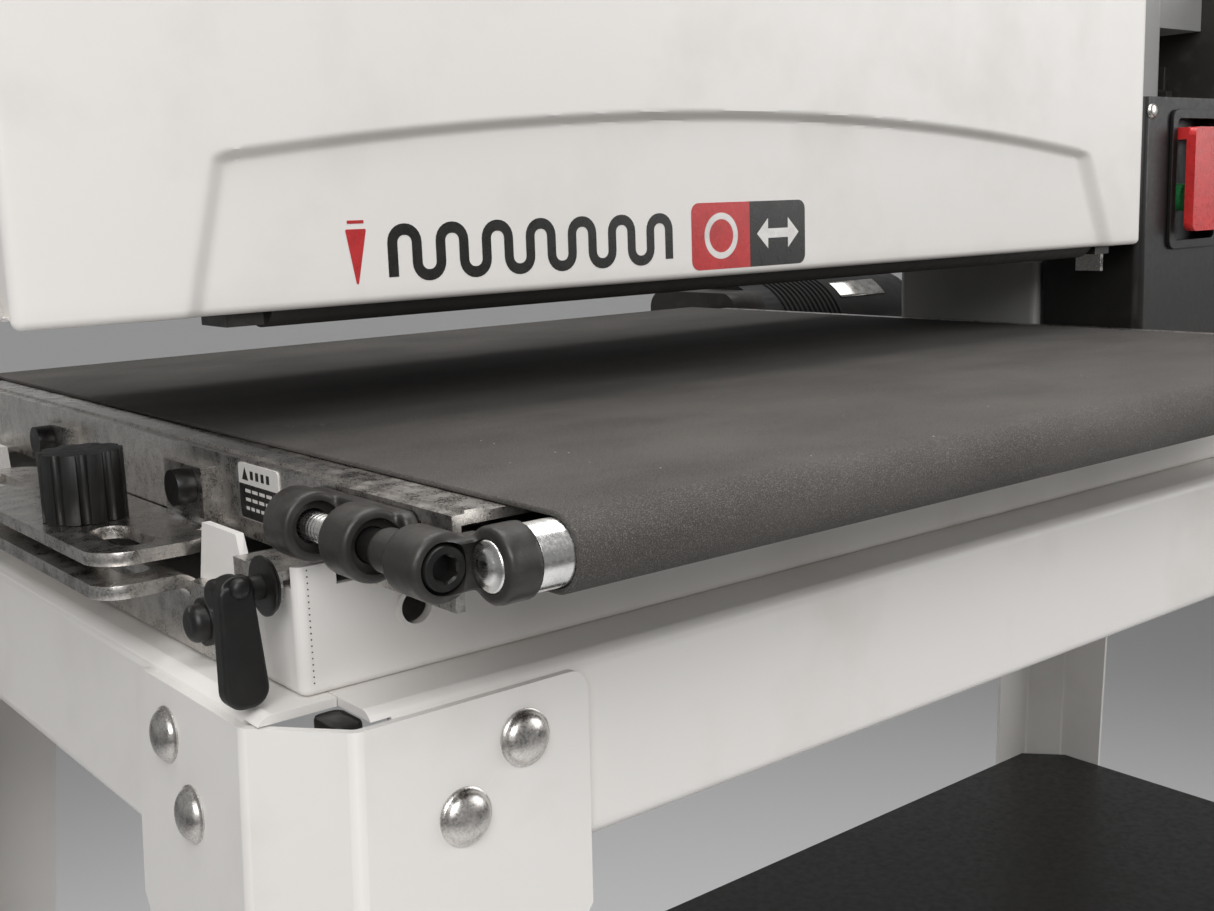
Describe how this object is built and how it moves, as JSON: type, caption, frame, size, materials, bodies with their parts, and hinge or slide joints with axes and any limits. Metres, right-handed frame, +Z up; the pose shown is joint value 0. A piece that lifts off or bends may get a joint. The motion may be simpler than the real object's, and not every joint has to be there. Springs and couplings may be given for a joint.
{
  "type": "drum sander",
  "caption": "Open-end oscillating drum sander: power-fed abrasive-cloth conveyor, hinged dust cover and sprung pressure rollers on a splayed steel stand.",
  "frame": {"origin": "on the floor, under the middle of the bounding box", "axes": "+X along the drum from the open end to the column, +Y from the infeed to the outfeed side, +Z up"},
  "size_m": [0.9584, 0.5084, 1.223],
  "materials": {
    "white_paint": "fine satin powder coat",
    "grey_paint": "satin paint on cast iron",
    "black_paint": "satin black",
    "cast_black": "black-painted casting",
    "zinc": "zinc plated, lightly mottled",
    "bright_steel": "turned and ground",
    "spring_steel": "oiled",
    "drum_aluminium": "turned",
    "belt_cloth": "fine abrasive grain on cloth",
    "abrasive": "spiral-wound abrasive cloth",
    "rubber": "matt rubber",
    "black_plastic": "moulded",
    "red_plastic": "moulded",
    "green_plastic": "moulded"
  },
  "bodies": {
    "stand": {"legs": "white_paint", "rails": "white_paint", "shelf": "black_paint", "stand_bolts": "zinc", "levelling_feet": "rubber", "base_frame": "white_paint", "column_housing": "grey_paint", "guide_posts": "bright_steel", "column_cap": "cast_black", "alignment_bracket_lower": "zinc", "bracket_bolts_lower": "black_paint", "control_box": "black_plastic", "cable_gland": "black_plastic"},
    "table": {"table_bed": "zinc", "conveyor_belt": "belt_cloth", "takeup_brackets": "cast_black", "drive_bearings": "cast_black", "conveyor_gearbox": "cast_black", "conveyor_motor": "black_paint", "alignment_bracket_upper": "zinc", "bracket_bolts_upper": "black_paint"},
    "takeup": {"takeup_blocks": "cast_black"},
    "idler": {"idler_roller": "bright_steel"},
    "takeup_screw_left": {"takeup_screw_left": "bright_steel"},
    "takeup_screw_right": {"takeup_screw_right": "bright_steel"},
    "drive_roller": {"drive_roller": "rubber"},
    "lock_lever_front": {"lock_lever_front": "black_plastic"},
    "lock_lever_rear": {"lock_lever_rear": "black_plastic"},
    "alignment_knob": {"alignment_knob": "black_plastic"},
    "head": {"head_carriage": "grey_paint", "head_beam": "cast_black", "drum_bearings": "bright_steel", "head_end_plate": "zinc", "rear_shroud": "white_paint", "hinge_pins": "bright_steel", "oscillation_motor": "black_paint", "motor_mount": "cast_black", "drum_motor": "black_paint", "motor_fan_cover": "black_paint", "infeed_springs": "spring_steel", "outfeed_springs": "spring_steel"},
    "dust_cover": {"dust_cover": "white_paint", "dust_port": "black_plastic"},
    "cover_latch": {"cover_latch_knob": "black_plastic"},
    "oscillator": {"oscillation_yoke": "cast_black"},
    "drum": {"drum_core": "drum_aluminium", "abrasive_wrap": "abrasive", "drum_shaft": "bright_steel"},
    "motor_rotor": {"motor_coupling": "bright_steel"},
    "eccentric": {"eccentric_disc": "bright_steel"},
    "infeed_carrier": {"infeed_roller_blocks": "cast_black"},
    "infeed_roller": {"infeed_pressure_roller": "rubber"},
    "outfeed_carrier": {"outfeed_roller_blocks": "cast_black"},
    "outfeed_roller": {"outfeed_pressure_roller": "rubber"},
    "crank": {"crank_handle": "cast_black", "lead_screw": "bright_steel"},
    "crank_knob": {"crank_knob": "black_plastic"},
    "stop_paddle": {"stop_paddle": "red_plastic"},
    "start_button": {"start_button": "green_plastic"},
    "speed_knob": {"speed_knob": "black_plastic"}
  },
  "joints": [
    {"name": "head_lift", "type": "slide", "parent": "stand", "child": "head", "axis": [0, 0, 1], "range_m": [-0.0335, 0.0397]},
    {"name": "crank_turn", "type": "hinge", "parent": "stand", "child": "crank", "pos_m": [0.162, 0.01925, 1.15], "axis": [0, 0, 1], "range_deg": [-8110, 9020]},
    {"name": "crank_knob_spin", "type": "hinge", "parent": "crank", "child": "crank_knob", "pos_m": [0.224, 0.01925, 1.158], "axis": [0, 0, 1], "continuous": true},
    {"name": "cover_hinge", "type": "hinge", "parent": "head", "child": "dust_cover", "pos_m": [-0.18, 0.06525, 1.034], "axis": [-1, 0, 0], "range_deg": [0, 85]},
    {"name": "cover_latch_turn", "type": "hinge", "parent": "dust_cover", "child": "cover_latch", "pos_m": [-0.452, -0.07675, 0.97], "axis": [1, 0, 0], "range_deg": [0, 90]},
    {"name": "drum_oscillation", "type": "slide", "parent": "head", "child": "oscillator", "axis": [1, 0, 0], "range_m": [-0.004, 0.004]},
    {"name": "drum_spin", "type": "hinge", "parent": "oscillator", "child": "drum", "pos_m": [-0.144, -0.01825, 0.95], "axis": [1, 0, 0], "continuous": true},
    {"name": "motor_spin", "type": "hinge", "parent": "head", "child": "motor_rotor", "pos_m": [0.263, -0.01825, 0.95], "axis": [1, 0, 0], "continuous": true},
    {"name": "eccentric_spin", "type": "hinge", "parent": "head", "child": "eccentric", "pos_m": [0.237, -0.01825, 1], "axis": [0, 0, 1], "continuous": true},
    {"name": "infeed_roller_lift", "type": "slide", "parent": "head", "child": "infeed_carrier", "axis": [0, 0, 1], "range_m": [0, 0.003], "stiffness_N_per_m": 3000, "springref_m": -0.003, "deforming": ["infeed_springs"]},
    {"name": "infeed_roller_spin", "type": "hinge", "parent": "infeed_carrier", "child": "infeed_roller", "pos_m": [-0.156, -0.09275, 0.8945], "axis": [1, 0, 0], "continuous": true},
    {"name": "outfeed_roller_lift", "type": "slide", "parent": "head", "child": "outfeed_carrier", "axis": [0, 0, 1], "range_m": [0, 0.003], "stiffness_N_per_m": 3000, "springref_m": -0.003, "deforming": ["outfeed_springs"]},
    {"name": "outfeed_roller_spin", "type": "hinge", "parent": "outfeed_carrier", "child": "outfeed_roller", "pos_m": [-0.156, 0.05625, 0.8945], "axis": [1, 0, 0], "continuous": true},
    {"name": "table_tilt", "type": "hinge", "parent": "stand", "child": "table", "pos_m": [0.089, -0.01825, 0.83], "axis": [0, 1, 0], "range_deg": [-0.1, 0.1]},
    {"name": "alignment_knob_turn", "type": "hinge", "parent": "table", "child": "alignment_knob", "pos_m": [-0.418, -0.04875, 0.838], "axis": [0, 0, 1], "range_deg": [-260, 260]},
    {"name": "lock_lever_front_turn", "type": "hinge", "parent": "table", "child": "lock_lever_front", "pos_m": [-0.415, -0.16475, 0.8237], "axis": [1, 0, 0], "range_deg": [-90, 0]},
    {"name": "lock_lever_rear_turn", "type": "hinge", "parent": "table", "child": "lock_lever_rear", "pos_m": [-0.415, 0.12825, 0.8237], "axis": [1, 0, 0], "range_deg": [0, 90]},
    {"name": "belt_takeup", "type": "slide", "parent": "table", "child": "takeup", "axis": [0, 1, 0], "range_m": [0, 0.004]},
    {"name": "takeup_screw_left_turn", "type": "hinge", "parent": "takeup", "child": "takeup_screw_left", "pos_m": [-0.403, -0.23875, 0.84], "axis": [0, 1, 0], "range_deg": [0, 1160]},
    {"name": "takeup_screw_right_turn", "type": "hinge", "parent": "takeup", "child": "takeup_screw_right", "pos_m": [0.089, -0.23875, 0.84], "axis": [0, 1, 0], "range_deg": [0, 1160]},
    {"name": "idler_spin", "type": "hinge", "parent": "takeup", "child": "idler", "pos_m": [-0.157, -0.24425, 0.84], "axis": [1, 0, 0], "continuous": true},
    {"name": "drive_roller_spin", "type": "hinge", "parent": "table", "child": "drive_roller", "pos_m": [-0.157, 0.19025, 0.84], "axis": [1, 0, 0], "continuous": true},
    {"name": "stop_paddle_turn", "type": "hinge", "parent": "stand", "child": "stop_paddle", "pos_m": [0.143, -0.10575, 0.944], "axis": [1, 0, 0], "range_deg": [-30, 5], "stiffness_Nm_per_rad": 0.05},
    {"name": "start_button_press", "type": "slide", "parent": "stand", "child": "start_button", "axis": [0, 1, 0], "range_m": [0, 0.003], "stiffness_N_per_m": 300},
    {"name": "speed_knob_turn", "type": "hinge", "parent": "stand", "child": "speed_knob", "pos_m": [0.198, -0.10875, 0.92], "axis": [0, -1, 0], "range_deg": [0, 270]}
  ],
  "couplings": [
    {"joint": "crank_turn", "follows": "head_lift", "rad_per_m": 3957.9},
    {"joint": "motor_spin", "follows": "drum_spin", "ratio": 1},
    {"joint": "idler_spin", "follows": "drive_roller_spin", "ratio": 1},
    {"joint": "takeup_screw_left_turn", "follows": "belt_takeup", "rad_per_m": 5026.5},
    {"joint": "takeup_screw_right_turn", "follows": "belt_takeup", "rad_per_m": 5026.5},
    {"joint": "alignment_knob_turn", "follows": "table_tilt", "ratio": 2563.5}
  ]
}
